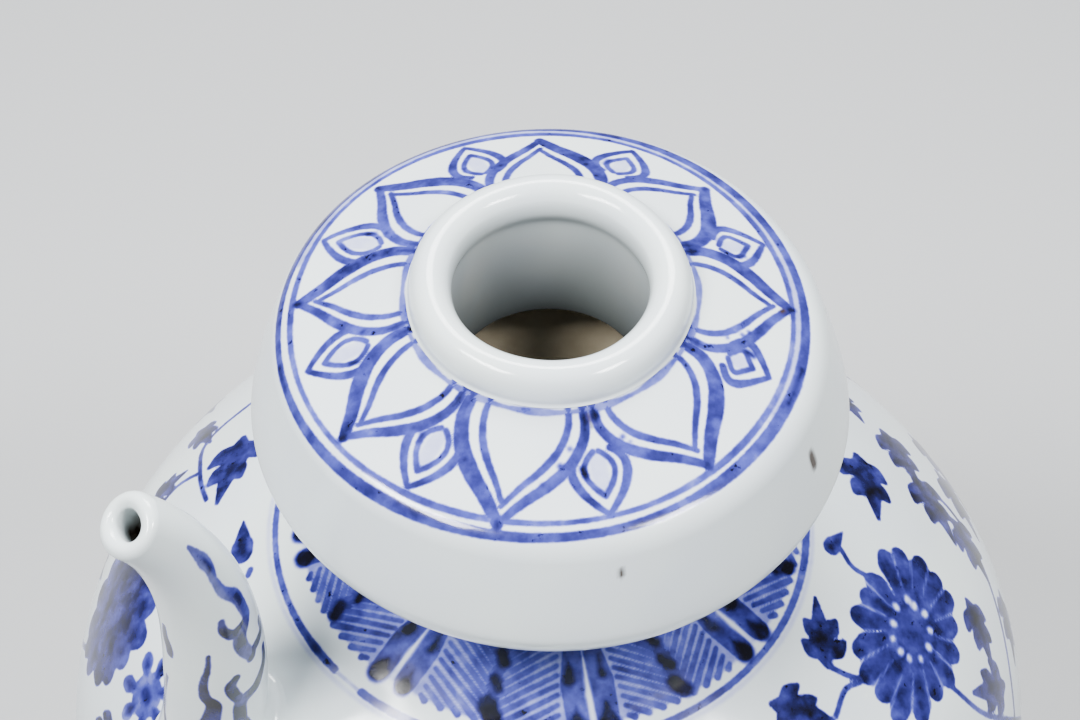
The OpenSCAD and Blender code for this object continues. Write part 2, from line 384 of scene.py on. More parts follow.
def cobalt(tree, place, cloud):
    """Pigment from 0, clear glaze, to 1, almost black: layer is painted over layer, on top of the cloud."""
    grain = add(tree, "TexNoise", {"Vector": place, "Scale": per_mm(EDGE_GRAIN)})
    centred = add(tree, "Math", {0: grain, 1: 0.5}, operation="SUBTRACT")
    ragged = add(tree, "Math", {0: centred, 1: EDGE_RAGGED}, operation="MULTIPLY")
    flow = add(tree, "TexNoise", {"Vector": place, "Scale": per_mm(FLOW), "Detail": 4.0})
    pigment = cloud
    for layer, (blur, weak, strong) in LAYER_LOOKS.items():
        depth = add(tree, "Attribute", out="Fac", attribute_name=layer)
        edge = add(tree, "Math", {0: depth, 1: ragged}, operation="ADD")
        mask = add(tree, "MapRange", {0: edge, 1: -blur, 2: blur}, interpolation_type="SMOOTHSTEP")
        mottle = add(tree, "MapRange", {0: flow, 1: 0.3, 2: 0.7, 3: weak, 4: strong})
        tone = add(tree, "Attribute", out="Fac", attribute_name=layer + "_tone")
        strength = add(tree, "Math", {0: tone, 1: mottle}, operation="MULTIPLY")
        # A later layer never lightens the one under it.
        deepest = add(tree, "Math", {0: pigment, 1: strength}, operation="MAXIMUM")
        pigment = add(tree, "Mix", {0: mask, 2: pigment, 3: deepest})
    depth = add(tree, "Attribute", out="Fac", attribute_name="bare")
    edge = add(tree, "Math", {0: depth, 1: ragged}, operation="ADD")
    spare = add(tree, "MapRange", {0: edge, 1: -0.3, 2: 0.75, 3: 1.0, 4: BARE_LEFT},
                interpolation_type="SMOOTHSTEP")
    pigment = add(tree, "Math", {0: pigment, 1: spare}, operation="MULTIPLY")
    # Heaped grains: where pigment is already dense, small specks of it go almost black.
    grain = add(tree, "TexNoise", {"Vector": place, "Scale": per_mm(HEAPS), "Detail": 3.0})
    specks = add(tree, "MapRange", {0: grain, 1: 0.66, 2: 0.76, 4: 0.40})
    dense = add(tree, "MapRange", {0: pigment, 1: 0.38, 2: 0.6})
    heaped = add(tree, "Math", {0: specks, 1: dense}, operation="MULTIPLY")
    return add(tree, "Math", {0: pigment, 1: heaped}, operation="ADD", use_clamp=True)


print("cobalt layers:", ", ".join(LAYER_LOOKS))

# %% The glazed porcelain material
GLAZE_WHITE = "#DCE6E5"
PIGMENT = ((0.0, GLAZE_WHITE), (0.16, "#B4BBDD"), (0.34, "#7279BC"), (0.52, "#42479A"), (0.70, "#2A2B70"),
           (0.86, "#15163F"), (1.0, "#0B0B15"))
# Rust brown of the iron spots, also used as painted shade inside the spout's bore.
RUST_AND_BORE_SHADE = "#33271A"
# Near-black painted shade, mixed over the glaze down the inside of the throat.
THROAT_SHADE_COLOUR = "#1B1F1D"
GLAZE_IOR = 1.5
# Sizes in mm of the glaze's clouds, of its long waves and fine skin, and of its duller patches.
CLOUDS, WAVES, SKIN, DULL_PATCHES = 25, 11, 1.5, 14
CLOUDING = 0.045
SMOOTHEST, ROUGHEST = 0.10, 0.17


def glazed_porcelain(name, painted):
    """White glaze, with the painted layers under it where the piece is painted."""
    material = bpy.data.materials.new(name)
    material.use_nodes = True
    tree = material.node_tree
    shader = tree.nodes["Principled BSDF"]
    shader.inputs["IOR"].default_value = GLAZE_IOR
    place = add(tree, "TexCoord", out="Object")
    # Clouds change the glaze's brightness by a few hundredths.
    cloud = add(tree, "TexNoise", {"Vector": place, "Scale": per_mm(CLOUDS)})
    cloud = add(tree, "MapRange", {0: cloud, 1: 0.3, 2: 0.7, 4: CLOUDING})
    ramp = add(tree, "ValToRGB", {0: cobalt(tree, place, cloud) if painted else cloud})
    stops = ramp.node.color_ramp.elements
    while len(stops) < len(PIGMENT):
        stops.new(0.5)
    for stop, (position, colour) in zip(stops, PIGMENT):
        stop.position = position
        stop.color = linear(colour)
    colour = ramp
    # Mixed over the glaze colour: first the rust-brown layer, which holds the iron spots and painted shade
    # inside the spout's bore, then painted shade that darkens the throat's inside.
    for layer, second_colour in (("rust_and_bore_shade", RUST_AND_BORE_SHADE), ("painted_throat_shade", THROAT_SHADE_COLOUR)):
        share = add(tree, "Attribute", out="Fac", attribute_name=layer)
        colour = add(tree, "Mix", {0: share, 6: colour, 7: linear(second_colour)}, out=2, data_type="RGBA")
    tree.links.new(colour, shader.inputs["Base Color"])
    # The glaze lies in long soft waves; a finer skin breaks the mirror a little.
    waves = add(tree, "TexNoise", {"Vector": place, "Scale": per_mm(WAVES), "Detail": 1.0})
    waves = add(tree, "Bump", {"Height": waves, "Strength": 0.06, "Distance": 0.002})
    skin = add(tree, "TexNoise", {"Vector": place, "Scale": per_mm(SKIN)})
    skin = add(tree, "Bump", {"Height": skin, "Strength": 0.05, "Distance": 0.0002, "Normal": waves})
    tree.links.new(skin, shader.inputs["Normal"])
    rough = add(tree, "TexNoise", {"Vector": place, "Scale": per_mm(DULL_PATCHES)})
    rough = add(tree, "MapRange", {0: rough, 1: 0.3, 2: 0.7, 3: SMOOTHEST, 4: ROUGHEST})
    tree.links.new(rough, shader.inputs["Roughness"])
    return material


plain_glaze = glazed_porcelain("clear_glaze_on_porcelain", painted=False)
painted_glaze = glazed_porcelain("clear_glaze_over_cobalt_painting", painted=True)
print("materials:", plain_glaze.name, painted_glaze.name)


# %% [markdown]
# ## The belly
# A thrower makes the belly as two bowls and sticks them together rim to rim. Each half is part of an
# ellipse, and the inside follows the outside at the wall's thickness. The upper half comes in two
# pieces, the dome and the shoulder above it, so the finest lines, round the shoulder, get the closest
# rows.

# %% Belly surfaces
DOME_COLUMNS = 880
BOWL_COLUMNS = 640
DOME_ROWS, SHOULDER_ROWS, BOWL_ROWS = 106, 102, 118
INNER_ROWS = 6


def dome_z(radius):
    """Height of the dome at a radius: z of the widest line + rise * sqrt(1 - (radius / belly radius)^2)."""
    return widest_z + DOME_RISE * np.sqrt(1 - (radius / belly_r) ** 2)


def on_belly(azimuth, height):
    """Point of the belly at an azimuth and an ellipse angle, both in degrees; 0 is the widest line."""
    a, t = np.radians(azimuth), np.radians(height)
    rise = np.where(t > 0, DOME_RISE, BOWL_DROP)
    return np.stack(np.broadcast_arrays(belly_r * np.cos(t) * np.cos(a), belly_r * np.cos(t) * np.sin(a),
                                        widest_z + rise * np.sin(t)), -1)


def angle_at(radius):
    """Ellipse angle at which the belly has this radius, in degrees."""
    return math.degrees(math.acos(radius / belly_r))


def height_angle(z):
    """Ellipse angle of the lower bowl at this height above the table, in degrees."""
    return math.degrees(math.asin((z - widest_z) / BOWL_DROP))


SHOULDER_R = 50.0


def dome_ring(low_radius, high_radius, rows):
    """A closed ring of the dome between two radii: outside from low to high, inside back down."""
    low, high = angle_at(low_radius), angle_at(high_radius)
    outer = arc((0, widest_z), belly_r, DOME_RISE, low, high, rows)
    inner = arc((0, widest_z), belly_r - BELLY_WALL, DOME_RISE - BELLY_WALL, high, low, INNER_ROWS)
    return revolve(np.vstack([outer, inner]), DOME_COLUMNS)


dome_grid = dome_ring(belly_r, SHOULDER_R, DOME_ROWS)
shoulder_grid = dome_ring(SHOULDER_R, NECK_BASE_R - NECK_WALL, SHOULDER_ROWS)

under = line((0, RECESS), (belly_r * math.cos(math.radians(height_angle(RECESS))), RECESS), 10)
bowl_out = arc((0, widest_z), belly_r, BOWL_DROP, height_angle(RECESS), 0, BOWL_ROWS)
floor_z = RECESS + FLOOR_THICK
inner_floor = math.degrees(math.asin((floor_z - widest_z) / (BOWL_DROP - BELLY_WALL)))
bowl_in = arc((0, widest_z), belly_r - BELLY_WALL, BOWL_DROP - BELLY_WALL, 0, inner_floor, 10)
bowl_grid = revolve(np.vstack([under, bowl_out, bowl_in, [[0, floor_z]]]), BOWL_COLUMNS)
dome_canvas, shoulder_canvas, bowl_canvas = map(new_canvas, (dome_grid, shoulder_grid, bowl_grid))
belly = (dome_canvas, shoulder_canvas, bowl_canvas)
print("rows of dome, shoulder and bowl:", *map(len, (dome_grid, shoulder_grid, bowl_grid)))


# %% [markdown]
# ## The leaf band on the shoulder
# Two rings enclose a band of eight leaves under the head. Each leaf is a dark midrib with slanting
# veins on both sides, and pairs of dark ovals part one leaf from the next. The painter spaced them by
# eye, so their azimuths are a list and not a division of the circle.

# %% Rings and paths on the dome
RING_STEP = 1.5
RING_R = 43.4
RING_SHIFT = (-1.2, 0.75)
ON_AXIS = (0, 0)
BAND_R = (26.5, 41.0)
OVAL_AZIMUTHS = (199.5, 248, 291, 335, 20, 66, 112, 156)
OVAL_LEAN = 3.6
VEINS = 14
VEIN_START = 20.5
VEIN_SPACING = 1.5
VEIN_RISE = 6.0
VEIN_END_AZIMUTH = 8


def flat_ring(radius, start, stop, shift):
    """x and y of a ring, or part of one, drawn slightly off the axis, as the banding wheel left it."""
    a = np.radians(np.linspace(start, stop, max(2, int(abs(stop - start) / RING_STEP))))
    return radius * np.cos(a) + shift[0], radius * np.sin(a) + shift[1]


def belly_ring(radius, start=0, stop=360, shift=RING_SHIFT):
    """A ring, or part of one, on the dome."""
    x, y = flat_ring(radius, start, stop, shift)
    return np.stack([x, y, dome_z(np.hypot(x, y))], 1)


def band_path(points):
    """Points given as (azimuth, radius) on the dome."""
    points = np.array(points, float)
    return on_belly(points[:, 0], np.degrees(np.arccos(points[:, 1] / belly_r)))


print("band:", BAND_R[1] - BAND_R[0], "mm wide")

# %% Painting the rings and the leaf band
rng = np.random.default_rng(7)
# The ring starts and stops beside the spout's root, with a faint gap and a heap of pigment between.
brush(belly, "outline", belly_ring(RING_R, 197, 549), 0.66 + 0.09 * np.sin(np.linspace(0, 19, 234)), 0.57)
brush(belly, "outline", belly_ring(RING_R, 188, 197), 0.30, 0.25)
brush(belly, "accent", belly_ring(RING_R, 178, 187), swell(6, 0.1, 0.5, 0.2), 0.8)
brush(belly, "wash", belly_ring(RING_R + 1.1), 0.35, 0.16)
brush(belly, "wash", belly_ring(sum(BAND_R) / 2, shift=ON_AXIS), (BAND_R[1] - BAND_R[0]) / 2 - 0.2, 0.33)
brush(belly, "outline", belly_ring(BAND_R[0] - 0.8, shift=ON_AXIS), 0.45, 0.55)

for here, following in zip(OVAL_AZIMUTHS, OVAL_AZIMUTHS[1:] + OVAL_AZIMUTHS[:1]):
    gap = (following - here) % 360
    rib = here + gap / 2 + rng.uniform(-1, 1)
    for side in (-1, 1):
        lean = side * (OVAL_LEAN + rng.uniform(-0.3, 0.3))
        oval = band_path([(here + lean * 0.8, 27), (here + lean, 34.0), (here + lean * 0.95, 39.6)])
        brush(belly, "outline", oval, swell(3, 1.2, 2.1, 1.8), 0.66 + rng.uniform(-0.04, 0.04))
        for r, off, heap in ((32.5 + rng.uniform(-1, 1), 1.25, 0.7), (39.6, 0.98, 1.3)):
            node = band_path([(here + lean * off, r - 2.2), (here + lean * off, r + 0.8)])
            brush(belly, "accent", node, (0.0, heap + rng.uniform(0, 0.6)), 1.0)
        for k in range(VEINS):
            # A vein rises from beside the ovals to the rib; only its share inside the band is drawn.
            inner = VEIN_START + VEIN_SPACING * k
            shares = np.clip((np.array(BAND_R) + (-0.3, -0.5) - inner) / VEIN_RISE, 0, 1)
            far = here + VEIN_END_AZIMUTH if side > 0 else following - VEIN_END_AZIMUTH
            to_rib = (rib - far + 180) % 360 - 180
            vein = band_path([(far + share * to_rib, inner + share * VEIN_RISE) for share in shares])
            brush(belly, "outline", vein, (0.40, 0.62), 0.58 + rng.uniform(-0.05, 0.05))
    lens = band_path([(here, 30), (here + rng.uniform(-0.4, 0.4), 36), (here, 40.6)])
    brush(belly, "bare", lens, swell(3, 0.2, 0.75, 0.35))
    midrib = band_path([(rib, 26.5), (rib + rng.uniform(-0.5, 0.5), 35), (rib, 39.6)])
    brush(belly, "outline", midrib, (0.8, 1.4, 1.0), 0.70)
    for r, heap in ((30.5, 0.5), (34.6, 0.6), (38.8, 1.2)):
        blob = band_path([(rib - 0.8, r - 0.8), (rib + 0.9, r + 0.8)])
        brush(belly, "accent", blob, heap + rng.uniform(-0.3, 0.5), 1.0)
print("leaf band:", len(OVAL_AZIMUTHS), "leaves")


# %% [markdown]
# ## Flowers, leaves and stems
# Round the belly runs a scroll: large many-petalled flowers, spiky dark leaves, buds and thin stems.
# A motif is drawn flat, in millimetres to the right and up, then laid on the belly: centre + right +
# up, pushed back to the ellipse along the line to the belly's middle.

# %% Laying flat motifs on the belly
def place_on_belly(azimuth, height, turn=0.0):
    """Returns a function that lays flat (right, up) points, turned by some degrees, on the belly."""
    centre = on_belly(azimuth, height)
    a = math.radians(azimuth)
    east = np.array([-math.sin(a), math.cos(a), 0])
    rise = DOME_RISE if height > 0 else BOWL_DROP
    normal = np.array([centre[0] / belly_r**2, centre[1] / belly_r**2, (centre[2] - widest_z) / rise**2])
    north = np.cross(normal / np.linalg.norm(normal), east)
    c, s = math.cos(math.radians(turn)), math.sin(math.radians(turn))

    def lay(points):
        """Turned flat points, pushed back to the ellipse."""
        x, y = np.array(points, float).T
        p = centre + (c * x - s * y)[:, None] * east + (s * x + c * y)[:, None] * north
        p[:, 2] -= widest_z
        half = np.where(p[:, 2] > 0, DOME_RISE, BOWL_DROP)
        p /= np.sqrt((p[:, 0] ** 2 + p[:, 1] ** 2) / belly_r**2 + (p[:, 2] / half) ** 2)[:, None]
        p[:, 2] += widest_z
        return p

    return lay


print("straight above the spout's root:", place_on_belly(180, 40)([(0, 10)]).round(1)[0])

# %% A flower
HEART_DOTS = 11


def flower(lay, size, petals=14, tone=0.69, wide=1.0, gaps=True):
    """Petals are strokes that swell outwards till they touch, evenly along an ellipse.

    The flower reaches size up and size * wide sideways from its heart. With gaps, pale lines part the
    petals and white dots ring the heart.
    """
    heart = 0.22 * size
    turn = np.linspace(0, 2 * np.pi, 361)
    walked = np.cumsum(np.hypot(wide * np.sin(turn), np.cos(turn)))
    steps = np.linspace(0, walked[-1], petals, endpoint=False) + rng.uniform(0, 0.8 * walked[-1] / petals)
    turns = np.interp(steps + rng.uniform(-0.1, 0.1, petals) * walked[-1] / petals, walked, turn)
    between = (turns + np.roll(turns, -1) + 2 * np.pi * (np.arange(petals) == petals - 1)) / 2

    def place(points):
        """Lays points after stretching them sideways."""
        return lay(np.asarray(points, float) * [wide, 1.0])

    core_half = 0.2 * (wide - 1) * size
    brush(belly, "outline", place([(-core_half, 0), (core_half + 0.01, 0)]), 0.5 * size, tone)
    for a, edge_a in zip(turns, between):
        way = np.array([math.cos(a), math.sin(a)])
        side = np.array([-way[1], way[0]]) * size * rng.uniform(-0.03, 0.03)
        end = size * rng.uniform(0.90, 1.02)
        body = through([way * heart, way * (heart + end) * 0.5 + side,
                        way * (end - 0.16 * size) + 1.5 * side], 4)
        brush(belly, "outline", place(body), swell(len(body), 0.06 * size, 0.20 * size, 0.15 * size, 0.75),
              tone + rng.uniform(-0.06, 0.06))
        core = through([way * 0.36 * end, way * (end - 0.20 * size) + side], 6)
        brush(belly, "accent", place(core),
              swell(len(core), -0.02 * size, 0.115 * size, 0.03 * size, 0.65), 0.80)
        edge = np.array([math.cos(edge_a), math.sin(edge_a)])
        if gaps:
            brush(belly, "bare", place([edge * 0.44 * size, edge * 0.97 * size]), (0.15, 0.42))
    brush(belly, "accent", place([(-0.3 * heart, 0), (0.3 * heart, 0)]), 0.7 * heart, 0.74)
    if gaps:
        for k in range(HEART_DOTS):
            a = 2 * math.pi * (k + rng.uniform(-0.25, 0.25)) / HEART_DOTS
            dot = np.array([math.cos(a) * (1 + wide) / 2, math.sin(a)]) * heart * rng.uniform(1.35, 1.6)
            brush(belly, "bare", lay([dot, dot * 1.06]), 0.07 * size * rng.uniform(0.75, 1.2))


print("dots round a heart:", HEART_DOTS)


# %% Leaves, buds and stems
def leaf(lay, size, lobes=2, tone=0.76):
    """A dark leaf along +x: one full pointed stroke, blunt side lobes that sweep forwards, a darker rib."""
    spine = through([(-0.5 * size, 0), (-0.1 * size, 0.03 * size), (0.5 * size, 0)], 5)
    brush(belly, "outline", lay(spine), swell(len(spine), 0.05 * size, 0.23 * size, 0.03 * size, 0.42), tone)
    for k in range(lobes):
        root = -0.30 + 0.30 * k / max(1, lobes - 1)
        for side in (-1, 1):
            reach = (0.33 - 0.08 * k) * size * rng.uniform(0.85, 1.1)
            lobe = through([(root * size, 0), (root * size + 0.04 * size, side * 0.6 * reach),
                            (root * size + 0.15 * size, side * reach)], 4)
            brush(belly, "outline", lay(lobe), swell(len(lobe), 0.11 * size, 0.14 * size, 0.05 * size), tone)
    rib = spine[1:-3]
    brush(belly, "accent", lay(rib), swell(len(rib), 0.03 * size, 0.12 * size, 0.03 * size), 0.9)


def bud(lay, size, tone=0.70):
    """A drop: a stroke that starts as a point and ends round."""
    brush(belly, "outline", lay([(-0.5 * size, 0), (0.12 * size, 0), (0.25 * size, 0)]),
          (0.03 * size, 0.26 * size, 0.25 * size), tone)
    brush(belly, "accent", lay([(-0.1 * size, 0), (0.2 * size, 0)]), (0.05 * size, 0.13 * size))


def stem(knots, width=0.5, tone=0.64):
    """A thin line through (azimuth, height) knots on the belly."""
    path = through(knots, 8)
    brush(belly, "outline", on_belly(path[:, 0], path[:, 1]), width, tone)


def wave(azimuth):
    """Height of the long stem in degrees: 7 + 8 sin(6 azimuth + 80), six waves round the belly."""
    return 7 + 8 * math.sin(math.radians(6 * azimuth + 80))


print("long stem below the spout:", round(wave(180), 1), "degrees above the widest line")

# %% The scroll beside the spout
# Around the flower that faces right of the spout, leaf by leaf: azimuth, height, turn, size.
flower(place_on_belly(-45.3, 42.8), 12.4, petals=17, wide=1.5)
for *spot, size in ((-56.5, 54.8, 35, 11.5), (-19, 48.3, 178, 14), (-10, 37.5, 186, 13), (-19, 35, 205, 14),
                    (1, 41.5, 182, 9), (-23, 27, 225, 13), (-37, 28.3, 225, 12), (-72, 51, -55, 11),
                    (-63, 33, 160, 12), (-30, 16, 200, 13), (-14, 24, 205, 14), (-10, 17, 205, 14),
                    (-52, 20, 250, 11), (-6, 24, 205, 12), (-43.5, 24.5, 130, 13)):
    leaf(place_on_belly(*spot), size)
bud(place_on_belly(-35.2, 55.6, 150), 6)
stem([(-61.8, 52.5), (-60.4, 49), (-58, 46)])
stem([(-59, 47), (-63, 48.6), (-68, 47.6)])
stem([(-40, 50), (-39.4, 53), (-36, 55)])
stem([(-49, 34), (-48, 26), (-44, 17), (-36, wave(-36))])
stem([(-13, 38), (-18, 29), (-26, 23.5), (-38, 17), (-46, wave(-46))])
stem([(-74, 53), (-80, 44), (-76, 32), (-64, 24), (-51, wave(-51))])

# Left of the spout: a flower seen from the side, a round bud and leaves below the head.
flower(place_on_belly(149, 27.5), 14.5, petals=14, tone=0.74, gaps=False)
flower(place_on_belly(166, 33), 7.8, petals=7, tone=0.50, gaps=False)
bud(place_on_belly(149.5, 52.6, 0), 8.5)
brush(belly, "outline", on_belly(np.array([156.5, 157.5]), np.array([53.6, 53.2])), 0.6, 0.62)
for *spot, size in ((131, 47, 5, 15), (121, 35.5, 60, 10), (130.5, 34, 120, 9), (109, 44, 20, 12),
                    (136, 14, 40, 11), (164, 20, 250, 11), (170, 45, 80, 8), (112, 24, 70, 12)):
    leaf(place_on_belly(*spot), size)
stem([(137, 45), (130, 41), (123, 38), (116, 41), (110, 44)])
stem([(130, 41), (132, 36), (139, 31)])
stem([(149, 16), (145, 10.5), (140, 8), (133, wave(133))])
print("flowers beside the spout: 3")

# %% The scroll goes on round the belly
# The same spray again and again, each flower at its azimuth and height.
SPRAYS = ((28, 35), (87, 32), (232, 27), (0, -13), (60, -14), (119, -15), (191, -12), (262, -14), (309, -15))
for azimuth, height in SPRAYS:
    flower(place_on_belly(azimuth, height), rng.uniform(12.6, 14.2), petals=int(rng.integers(13, 16)))
    for angle in (25, 155, 205, 330, 90):
        a = math.radians(angle + rng.uniform(-8, 8))
        reach = rng.uniform(19, 22)
        out = (azimuth + math.degrees(reach * math.cos(a) / (belly_r * math.cos(math.radians(height)))),
               height + 0.85 * reach * math.sin(a))
        stem([(0.45 * azimuth + 0.55 * out[0], 0.45 * height + 0.55 * out[1]), out], 0.4)
        leaf(place_on_belly(*out, turn=angle + rng.uniform(-25, 25)), rng.uniform(10, 13))
stem([(azimuth, wave(azimuth)) for azimuth in range(-12, 373, 12)], 0.5)
# Each flower's own stem leaves it towards the long stem and ends on it, 16 degrees to one side.
for azimuth, height in SPRAYS:
    lean = rng.choice((-1, 1))
    low, high = height - math.copysign(11, height), wave(azimuth + 16 * lean)
    stem([(azimuth + 2 * lean, low), (azimuth + 7 * lean, 0.6 * low + 0.4 * high),
          (azimuth + 16 * lean, high)])
# Two thin rings close the painting above the foot.
for ring_z, width in ((15.5, 0.7), (18.2, 0.4)):
    brush(belly, "outline", on_belly(np.linspace(0, 360, 240), height_angle(ring_z)), width, 0.6)
print("scroll:", len(SPRAYS) + 3, "flowers")


# %% Belly pieces
for name, grid, canvas, node in (("painted_dome", dome_grid, dome_canvas, "upper_belly"),
                                 ("painted_shoulder", shoulder_grid, shoulder_canvas, "upper_belly"),
                                 ("painted_bowl", bowl_grid, bowl_canvas, "lower_belly")):
    piece(name, hand_thrown(grid), (node,), painted_glaze, layers=paint_layers(canvas))


# %% [markdown]
# ## The head's cover, with its lotus
# The cover is a shallow cone from the lip down to a rounded edge. Eight large lotus petals lie round
# the mouth, and the tips of eight more show between them. A petal's side is an ogee: it leaves the lip,
# swells, then draws in to a sharp tip. Each side is a bold stroke with a thin one inside it.

# %% Cover surface
EDGE_WIDTH = 3.7
EDGE_HANDLES = (1.3, 1.9)
CONE_SINKS = 0.22
WALL_POWER = 1.25
COVER_COLUMNS = 800


def wall_radius(above_bulge):
    """Radius of the head's wall: the widest radius, less the draw-in * (height / whole height)^1.25."""
    return head_r - (head_r - RIM_R) * (above_bulge / HEAD_UP) ** WALL_POWER


slope = (lip_z - rim_z) / (RIM_R - LIP_R)
seam_r = wall_radius(seam_z - bulge_z)
wall_lean = WALL_POWER * (head_r - RIM_R) / HEAD_UP * ((seam_z - bulge_z) / HEAD_UP) ** (WALL_POWER - 1)
cone_r = seam_r - EDGE_WIDTH
cone_start = np.array([cone_r, lip_z - (cone_r - LIP_R) * slope - CONE_SINKS])
edge = bezier((seam_r, seam_z), (seam_r - EDGE_HANDLES[0] * wall_lean, seam_z + EDGE_HANDLES[0]),
              cone_start + EDGE_HANDLES[1] * np.array([1, -slope]), cone_start, 18)
cone = np.linspace(cone_start, (LIP_R - 0.6, lip_z + 0.1), 72)[1:]
cover_out = np.vstack([edge, cone])
cover_in = np.array([(COLLAR_R, lip_z), (COLLAR_R, lip_z - HEAD_WALL), (LIP_R, lip_z - HEAD_WALL),
                     (seam_r - HEAD_WALL, seam_z)])
cover_grid = revolve(np.vstack([cover_out, cover_in]), COVER_COLUMNS)
cover_canvas = new_canvas(cover_grid)
cover = (cover_canvas,)


def on_cover(x, y):
    """Lifts plan points to the cover: the height is read from the profile at their radius."""
    radius = np.hypot(x, y)
    order = np.argsort(cover_out[:, 0])
    return np.stack([x, y, np.interp(radius, cover_out[order, 0], cover_out[order, 1])], -1)


print("cover:", cover_grid.shape[0], "rows, seam radius", round(seam_r, 1), "mm")

# %% Petals and rings on the cover
# Azimuth and tip radius of each petal, as the painter set them out by eye.
LARGE_PETALS = ((60.5, 36.8), (14.4, 35.9), (-30, 37.1), (-83, 37.1), (-133.3, 39.7), (-175, 38.6),
                (143.6, 39.2), (103.4, 38.0))
SMALL_PETALS = ((79, 37.4), (37, 36.2), (-8.5, 35.9), (-53, 34.8), (-109, 37.5), (-155, 37.9), (164, 37.7),
                (123.6, 38.3))
COVER_RING_SHIFT = (-1.18, 0.74)
OUTER_RING_R, INNER_RING_R = 40.0, 38.1
PETALS_LEAVE_R = 21.8


def petal_path(azimuth, curve, side):
    """(distance along the petal, half-width) points, mirrored by side and turned to the petal's azimuth."""
    a = math.radians(azimuth)
    u, w = curve[:, 0], side * curve[:, 1]
    return on_cover(u * math.cos(a) - w * math.sin(a), u * math.sin(a) + w * math.cos(a))


def ring_path(radius, start=0, stop=360, shift=COVER_RING_SHIFT):
    """A ring, or part of one, on the cover."""
    return on_cover(*flat_ring(radius, start, stop, shift))


def half_gap(azimuth, side):
    """Half the angle from a large petal to its neighbour on one side."""
    gaps = [(side * (other - azimuth)) % 360 for other, _ in LARGE_PETALS if other != azimuth]
    return min(gaps) / 2


PETAL_SIDE = np.array([(0, 1.0), (0.22, 1.14), (0.45, 1.03), (0.65, 0.72), (0.82, 0.34), (1, 0)])
print("lotus:", len(LARGE_PETALS), "large petals,", len(SMALL_PETALS), "small ones")


def petal_side(tip, gap, inset=0.0):
    """One side of a petal: its (share of the length, share of the half-width) knots between lip and tip."""
    g = math.radians(gap)
    start, width = PETALS_LEAVE_R * math.cos(g), PETALS_LEAVE_R * math.sin(g)
    length = tip - 1.15 * inset - start
    return through(PETAL_SIDE * [length, width - inset] + [start, 0], 6)


# %% Painting the lotus
SPECKS = 22
for azimuth, tip in LARGE_PETALS:
    bold = rng.choice((-1, 1))
    for side in (-1, 1):
        gap = half_gap(azimuth, side)
        press = 1.5 if side == bold else 1.05
        outer = petal_side(tip, gap, 0.7)
        brush(cover, "outline", petal_path(azimuth, outer, side),
              press * swell(len(outer), 0.62, 0.88, 0.6, 0.55), 0.66 if side == bold else 0.62)
        inner = petal_side(tip, gap, 3.4 if side == bold else 2.9)
        brush(cover, "outline", petal_path(azimuth, inner, side), swell(len(inner), 0.48, 0.62, 0.42), 0.60)
        # Pigment pooled where two petals leave the lip.
        pooled = swell(5, -0.1, rng.uniform(-0.1, 0.6), -0.2)
        brush(cover, "accent", petal_path(azimuth, outer[1:6], side), pooled)
    brush(cover, "accent", petal_path(azimuth, np.array([[tip - 0.9, 0.0], [tip - 0.2, 0.0]]), 1),
          rng.uniform(-0.1, 0.35))

for azimuth, tip in SMALL_PETALS:
    for side in (-1, 1):
        outer = bezier((28.2, 2.2), (30.2, 5.8), (tip - 3.2, 3.6), (tip, 0.0))
        brush(cover, "outline", petal_path(azimuth, outer, side), swell(20, 0.6, 0.74, 0.45), 0.62)
        inner = bezier((28.4, 0.4), (30.4, 3.4), (tip - 4.8, 2.2), (tip - 2.6, 0.0))
        brush(cover, "outline", petal_path(azimuth, inner, side), 0.46, 0.60)
    brush(cover, "wash", petal_path(azimuth, np.array([[29.5, 0.0], [tip - 3.6, 0.0]]), 1), 1.3, 0.16)
    brush(cover, "accent", petal_path(azimuth, np.array([[30.5, 2.4], [31.5, 2.2]]), rng.choice((-1, 1))),
          rng.uniform(-0.1, 0.5))

brush(cover, "outline", ring_path(OUTER_RING_R), 0.84 + 0.14 * np.sin(np.linspace(0, 25, 240)), 0.61)
brush(cover, "outline", ring_path(INNER_RING_R), 0.50 + 0.08 * np.sin(np.linspace(2, 33, 240)), 0.54)
# Thin pigment between the rings and past the outer one, and two darker places on it.
brush(cover, "wash", ring_path(OUTER_RING_R - 0.9, -60, 130), 0.9, 0.24)
smudge = ring_path(OUTER_RING_R + 1.3, -10, 160)
brush(cover, "wash", smudge, swell(len(smudge), -0.6, 0.8, -0.6), 0.30)
brush(cover, "accent", ring_path(OUTER_RING_R + 0.1, -56, -46), swell(6, 0.1, 0.7, 0.2))
brush(cover, "accent", ring_path(OUTER_RING_R + 0.1, 159, 166), swell(4, 0.1, 0.4, 0.1))
# A pale line where the lip stands on the cover.
lip_line = ring_path(LIP_R + 0.85, shift=ON_AXIS)
brush(cover, "outline", lip_line, 0.5 + 0.16 * np.sin(np.linspace(0, 90, len(lip_line))), 0.42)
# Small specks of heaped pigment on the petals' strokes, and two rust spots.
for _ in range(SPECKS):
    petal_azimuth, petal_tip = LARGE_PETALS[rng.integers(8)]
    first = int(rng.integers(6, 20))
    spot = petal_path(petal_azimuth, petal_side(petal_tip, 22, 0.9)[first : first + 1], rng.choice((-1, 1)))
    brush(cover, "accent", [spot[0], spot[0] + [0.05, 0, 0]], rng.uniform(-0.05, 0.3))
brush(cover, "rust_and_bore_shade", petal_path(-30, np.array([[35.0, -0.8], [35.3, -0.5]]), 1), 0.35)
brush(cover, "rust_and_bore_shade", petal_path(-109, np.array([[23.0, 0.2], [25.0, 0.3]]), 1), 0.15)
piece("lotus_cover", hand_thrown(cover_grid), ("head_cover",), painted_glaze,
      layers=paint_layers(cover_canvas))


